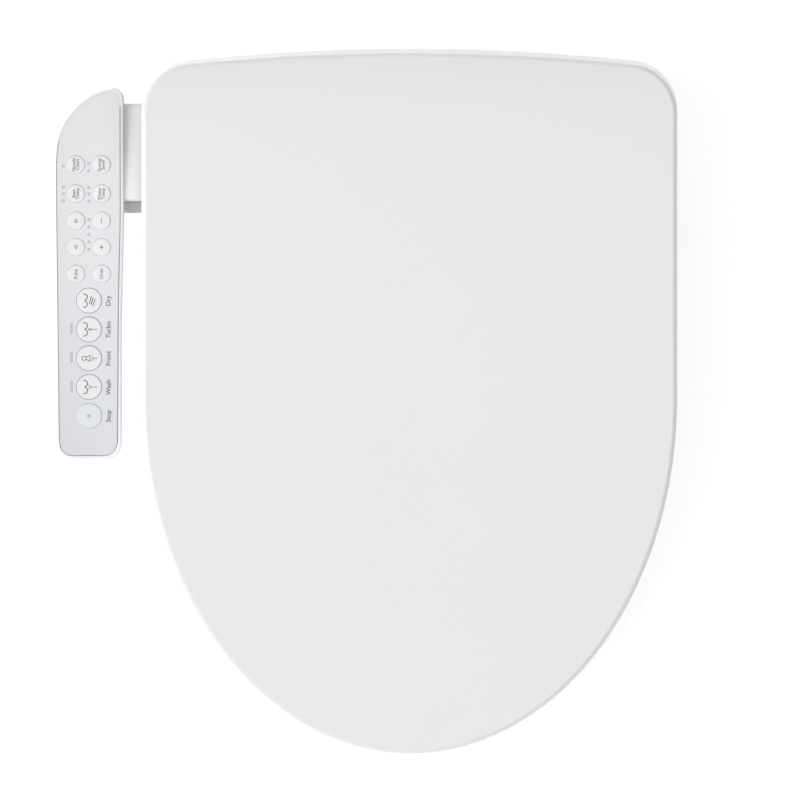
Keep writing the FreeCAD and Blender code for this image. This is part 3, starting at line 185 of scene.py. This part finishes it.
def mesh_piece(name, verts, faces, mat, body, smooth=False):
    me = bpy.data.meshes.new(name)
    me.from_pydata(verts, [], faces)
    me.validate()
    me.update()
    if smooth:
        for p in me.polygons:
            p.use_smooth = True
    o = bpy.data.objects.new(name, me)
    scene.collection.objects.link(o)
    me.materials.append(M[mat])
    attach(o, body)
    return o


def print_and_shade_strip(name, outlines, cx, cy, surface, mat, body, thick=0.035):
    """Closed thin strips laid on the panel: prints, and the painted edge shade of the film. Each outline is a list of
    strips; a strip is a row of (dx, dy) left and right pairs.
    """
    verts, faces = [], []
    for left, right in outlines:
        n = len(left)
        base = len(verts)
        for (lx, ly_), (rx, ry) in zip(left, right):
            for (dx, dy) in ((lx, ly_), (rx, ry)):
                h = surface(dx, dy)
                verts.append(on_panel(cx + dx, cy + dy, h - 0.01))
                verts.append(on_panel(cx + dx, cy + dy, h + thick))
        for i in range(n - 1):
            a, b = base + 4 * i, base + 4 * (i + 1)
            faces += [(a + 1, a + 3, b + 3, b + 1), (a, b, b + 2, a + 2), (a, a + 1, b + 1, b), (a + 2, b + 2, b + 3, a + 3)]
        a, b = base, base + 4 * (n - 1)
        faces += [(a, a + 2, a + 3, a + 1), (b, b + 1, b + 3, b + 2)]
    o = mesh_piece(name, verts, faces, mat, body)
    return o


def stroke(points, width):
    """The two sides of a pen stroke along a path."""
    left, right = [], []
    n = len(points)
    for i, (x, y) in enumerate(points):
        x0, y0 = points[max(0, i - 1)]
        x1, y1 = points[min(n - 1, i + 1)]
        tx, ty = x1 - x0, y1 - y0
        k = math.hypot(tx, ty) or 1.0
        nx, ny = -ty / k * width / 2, tx / k * width / 2
        left.append((x + nx, y + ny))
        right.append((x - nx, y - ny))
    return left, right


def smooth_path(points, n=8):
    """A Catmull-Rom curve through the points."""
    out = []
    for i in range(len(points) - 1):
        p0 = points[max(0, i - 1)]
        p1, p2 = points[i], points[i + 1]
        p3 = points[min(len(points) - 1, i + 2)]
        for k in range(n):
            t = k / n
            out.append(tuple(
                0.5 * (2 * b + (c - a) * t + (2 * a - 5 * b + 4 * c - d) * t * t + (3 * b - a - 3 * c + d) * t ** 3)
                for a, b, c, d in zip(p0, p1, p2, p3)))
    out.append(points[-1])
    return out


def circle_path(x, y, r, n=28):
    return [(x + r * math.cos(2 * math.pi * i / n), y + r * math.sin(2 * math.pi * i / n)) for i in range(n + 1)]


def word(name, text, cx, cy, size, surface, mat, body, heavy=0.0):
    """Upright text that reads towards the rear, laid on the surface that carries it."""
    cu = bpy.data.curves.new(name + "_curve", "FONT")
    cu.body = text
    cu.size = size
    cu.extrude = 0.022
    cu.offset = heavy
    cu.align_x = "CENTER"
    cu.align_y = "CENTER"
    cu.space_line = 0.78
    cu.resolution_u = 3
    tmp = bpy.data.objects.new(name + "_tmp", cu)
    scene.collection.objects.link(tmp)
    bpy.context.view_layer.update()
    dg = bpy.context.evaluated_depsgraph_get()
    me = bpy.data.meshes.new_from_object(tmp.evaluated_get(dg))
    bpy.data.objects.remove(tmp)
    for v in me.vertices:
        a, b, z = v.co
        dx, dy = -b, a
        v.co = on_panel(cx + dx, cy + dy, surface(dx, dy) + 0.012 + z)
    me.name = name
    me.materials.clear()
    me.materials.append(M[mat])
    o = bpy.data.objects.new(name, me)
    scene.collection.objects.link(o)
    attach(o, body)
    return o


# ---------------------------------------------------------------- prints and rings on the panel

SMALL_R, LARGE_R = 6.6, 9.2
sm, lg = dome(SMALL_R), dome(LARGE_R)
FACE = flat(0.03)
SMALL = {
    "nozzle_clean": (-245.9, -36.8, "Nozzle\nClean"), "energy_save": (-227.0, -36.8, "Energy\nSaver"),
    "seat_temp": (-245.9, -58.2, "Seat\nTemp"), "water_temp": (-227.0, -58.2, "Water\nTemp"),
    "pulse": (-245.9, -117.3, "Pulse"), "child": (-227.0, -117.3, "Child"),
}
for key, (x, y, text) in SMALL.items():
    word("mark_" + key, text, x, y, 3.55, sm, "ink", key + "_key", 0.03)

for key, (x, y), sgn in (("nozzle_back", (-245.9, -78.1), 1), ("nozzle_forward", (-245.9, -97.6), -1)):
    pts = [(-b * 0.95 if sgn else b, a * sgn) for a, b in [(-1.1, -1.35), (-1.1, 1.35), (1.35, 0.0), (-1.1, -1.35)]]
    segs = [stroke([pts[i], pts[i + 1]], 0.42) for i in range(3)]
    print_and_shade_strip("mark_" + key, segs, x, y, sm, "ink", key + "_key")
print_and_shade_strip("mark_pressure_down", [stroke([(0.0, -1.75), (0.0, 1.75)], 0.5)], -227.0, -78.1, sm, "ink",
        "pressure_down_key")
print_and_shade_strip("mark_pressure_up", [stroke([(0.0, -1.8), (0.0, 1.8)], 0.5), stroke([(-1.8, 0.0), (-0.25, 0.0)], 0.5),
                             stroke([(0.25, 0.0), (1.8, 0.0)], 0.5)], -227.0, -97.6, sm, "ink",
        "pressure_up_key")

hips = smooth_path([(-4.4, 4.9), (-2.3, 4.6), (-1.25, 3.1), (-1.6, 1.2), (-3.1, 0.0), (-1.6, -1.2), (-1.25, -3.1),
                    (-2.3, -4.6), (-4.4, -4.9)])
heat = [smooth_path([(0.3, -2.4), (0.7, -0.6), (1.2, 1.3), (1.8, 3.3)]),
        smooth_path([(1.7, -2.9), (2.0, -1.2), (2.6, 0.6), (3.1, 2.4)]),
        smooth_path([(3.1, -3.7), (3.4, -2.2), (4.0, -0.5), (4.6, 1.2)])]
X0 = -236.3
print_and_shade_strip("mark_dry", [stroke(hips, 0.68)] + [stroke(q, 0.62) for q in heat], X0, -137.0, lg, "ink", "dry_key")
stem = [(2.5, 0.0), (6.2, 0.0)]
fan3 = [[(-0.6, 1.7), (1.9, 0.35)], [(-0.9, 0.0), (1.7, 0.0)], [(-0.6, -1.7), (1.9, -0.35)]]
jets = [[(-0.4, 0.75), (2.1, 0.65)], [(-0.8, 0.0), (2.1, 0.0)], [(-0.4, -0.75), (2.1, -0.65)]]
print_and_shade_strip("mark_turbo", [stroke(hips, 0.68), stroke(stem, 0.45)] + [stroke(q, 0.36) for q in jets], X0, -158.2, lg,
        "ink", "turbo_key")
print_and_shade_strip("mark_rear_wash", [stroke(hips, 0.68), stroke(stem, 0.45)] + [stroke(q, 0.36) for q in fan3], X0, -200.7, lg,
        "ink", "rear_wash_key")
gown = [(-2.1, 0.75), (0.7, 2.3), (0.7, -2.3), (-2.1, -0.75)]
print_and_shade_strip("mark_front_wash",
        [stroke(circle_path(-3.7, 0.0, 1.55), 0.5)] + [stroke([gown[i], gown[i + 1]], 0.5) for i in range(3)]
        + [stroke([(4.6, 0.0), (6.3, 0.0)], 0.45)]
        + [stroke(q, 0.34) for q in ([(1.7, 1.7), (4.0, 0.35)], [(1.6, 0.0), (4.0, 0.0)], [(1.7, -1.7), (4.0, -0.35)])],
        X0, -179.5, lg, "ink", "front_wash_key")
print_and_shade_strip("mark_stop", [([(-1.5, -1.4), (-1.5, 1.4)], [(1.3, -1.4), (1.3, 1.4)])], X0, -222.0, lg, "blue", "stop_key")

for key, y, text in (("dry", -137.0, "Dry"), ("turbo", -158.2, "Turbo"), ("front", -179.5, "Front"),
                     ("wash", -200.7, "Wash"), ("stop", -222.0, "Stop")):
    word("label_" + key, text, -221.9, y - 0.2, 4.9, FACE, "ink", "unit", 0.06)


def ring(name, cx, cy, radius, tube, z, mat, body, seg=72, sides=10, shade=None):
    verts, faces = [], []
    for i in range(seg):
        a = 2 * math.pi * i / seg
        for k in range(sides):
            b = 2 * math.pi * k / sides
            r = radius + tube * math.cos(b)
            verts.append(on_panel(cx + r * math.cos(a), cy + r * math.sin(a), z + tube * math.sin(b)))
    for i in range(seg):
        for k in range(sides):
            i2, k2 = (i + 1) % seg, (k + 1) % sides
            faces.append((i * sides + k, i2 * sides + k, i2 * sides + k2, i * sides + k2))
    o = mesh_piece(name, verts, faces, mat, body, True)
    return o


for key, y in (("dry", -137.0), ("turbo", -158.2), ("front_wash", -179.5), ("rear_wash", -200.7)):
    ring("ring_" + key, X0, y, LARGE_R + 0.175, 0.15, -0.06, "ring", "unit")
for key, (x, y) in {"nozzle_clean": (-245.9, -36.8), "energy_save": (-227.0, -36.8), "seat_temp": (-245.9, -58.2),
                    "water_temp": (-227.0, -58.2), "nozzle_back": (-245.9, -78.1), "pressure_down": (-227.0, -78.1),
                    "nozzle_forward": (-245.9, -97.6), "pressure_up": (-227.0, -97.6), "pulse": (-245.9, -117.3),
                    "child": (-227.0, -117.3)}.items():
    ring("skirt_" + key, x, y, SMALL_R + 0.175, 0.165, -0.04, "film", "unit", seg=56)
ring("ring_stop", X0, -222.0, LARGE_R + 0.175, 0.14, -0.08, "ring_blue", "unit")

# painted shade round the recessed film, standing in for its edge shadow: heavy along the right side, fine round the
# front, fading up the left
RIGHT = [(-213.2, 6.0), (-213.2, -20.0), (-213.2, -74.4), (-213.7, -98.0), (-214.6, -136.9), (-215.2, -210.4), (-215.5, -241.0)]
FRONT = [(-215.5, -241.0), (-216.4, -245.6), (-219.2, -249.3), (-223.0, -251.2), (-226.6, -251.4), (-238.0, -251.4),
         (-248.8, -251.4), (-252.8, -250.6), (-256.3, -247.6), (-258.2, -243.4), (-258.45, -240.3)]
LEFT = [(-258.45, -240.3), (-259.2, -160.0), (-260.1, -60.0), (-260.15, -37.6), (-259.2, -25.1), (-258.2, -19.0)]


# a painted shade strip along one edge of the film, widening from w0 to w1
def edge_shade(name, pts, w0, w1, mat):
    n = len(pts)
    left, right = [], []
    for i, (x, y) in enumerate(pts):
        w = w0 + (w1 - w0) * i / (n - 1)
        (a, b) = stroke(pts, w)
        left.append(a[i])
        right.append(b[i])
    return print_and_shade_strip(name, [(left, right)], 0.0, 0.0, flat(0.02), mat, "unit", thick=0.04)


edge_shade("edge_shade_right", smooth_path(RIGHT, 6), 0.75, 0.9, "line")
edge_shade("edge_shade_front", smooth_path(FRONT, 6), 0.6, 0.6, "line")
edge_shade("edge_shade_left", smooth_path(LEFT, 6), 0.8, 0.45, "line")

# ---------------------------------------------------------------- floor, light, camera

bpy.ops.mesh.primitive_plane_add(size=24.0, location=(0, -0.2, -0.0006))
floor = bpy.context.active_object
floor.name = "floor"
fm = bpy.data.materials.new("pale_floor")
fm.use_nodes = True
fb = fm.node_tree.nodes["Principled BSDF"]
fb.inputs["Base Color"].default_value = (0.93, 0.93, 0.93, 1)
fb.inputs["Roughness"].default_value = 0.9
fb.inputs["Emission Color"].default_value = (1, 1, 1, 1)
fb.inputs["Emission Strength"].default_value = 0.42
floor.data.materials.append(fm)

world = bpy.data.worlds.new("studio")
scene.world = world
world.use_nodes = True
wn, wl = world.node_tree.nodes, world.node_tree.links
bg = wn["Background"]
wtc = wn.new("ShaderNodeTexCoord")
wsep = wn.new("ShaderNodeSeparateXYZ")
wl.new(wtc.outputs["Generated"], wsep.inputs["Vector"])
wmr = wn.new("ShaderNodeMapRange")
wmr.inputs["From Min"].default_value = -1.0
wmr.inputs["From Max"].default_value = 1.0
wmr.inputs["To Min"].default_value = 0.62
wmr.inputs["To Max"].default_value = 0.22
wl.new(wsep.outputs["X"], wmr.inputs["Value"])
wl.new(wmr.outputs["Result"], bg.inputs["Strength"])
bg.inputs["Color"].default_value = (1.0, 1.0, 1.0, 1)


def sun(name, direction, strength, angle):
    d = bpy.data.lights.new(name, "SUN")
    d.energy = strength
    d.angle = math.radians(angle)
    o = bpy.data.objects.new(name, d)
    scene.collection.objects.link(o)
    o.rotation_euler = Vector(direction).to_track_quat("Z", "Y").to_euler()
    return o


sun("key_left", (-1.0, -0.28, 1.05), 1.9, 40)
sun("fill_top", (0.15, -0.1, 1.0), 0.72, 60)

cam_data = bpy.data.cameras.new("camera")
cam = bpy.data.objects.new("camera", cam_data)
scene.collection.objects.link(cam)
cam.location = (-0.00684, -0.21035, 8.1)
cam.rotation_euler = (0.0, 0.0, 0.0)
cam_data.sensor_width = 36.0
cam_data.lens = 36.0 * 8.0 / 0.588
cam_data.clip_end = 50.0
scene.camera = cam
scene.view_settings.view_transform = "Standard"
scene.view_settings.look = "None"
